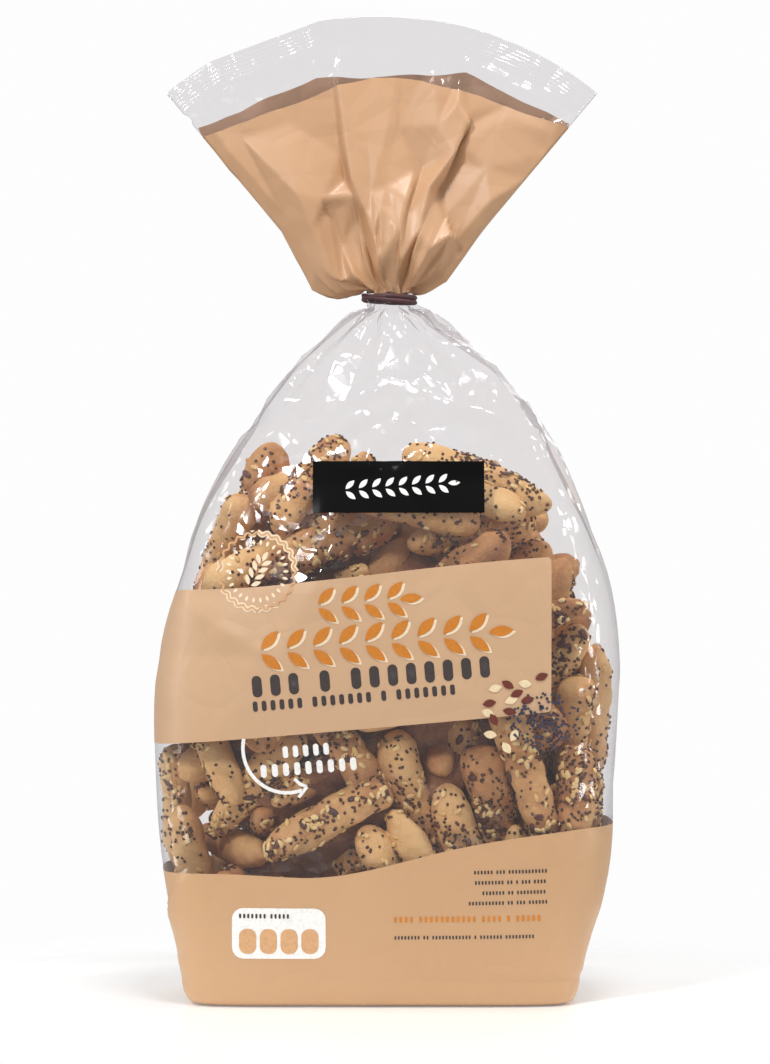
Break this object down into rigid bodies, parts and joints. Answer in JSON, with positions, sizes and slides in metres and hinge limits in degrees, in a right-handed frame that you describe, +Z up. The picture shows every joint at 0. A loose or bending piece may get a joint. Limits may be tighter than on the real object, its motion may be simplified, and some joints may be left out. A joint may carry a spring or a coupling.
{
  "type": "bag of mini breadsticks",
  "caption": "Clear printed film bag of short seeded breadsticks, standing on a flat block bottom, tied at the neck with an elastic band, with the film fanned out above.",
  "frame": {"origin": "middle of the bag's footprint, on the surface that it stands on", "axes": "+Z up from the block bottom to the header, -Y towards the printed front, +X to the right seen from the front"},
  "size_m": [0.1609, 0.0882, 0.341],
  "materials": {
    "printed_film": "clear film with tan print",
    "elastic_band": "satin",
    "breadstick": "dry baked crust",
    "seeds": "matt seed coat"
  },
  "bodies": {
    "root": {"bag": "printed_film", "band": "elastic_band"}
  },
  "joints": []
}
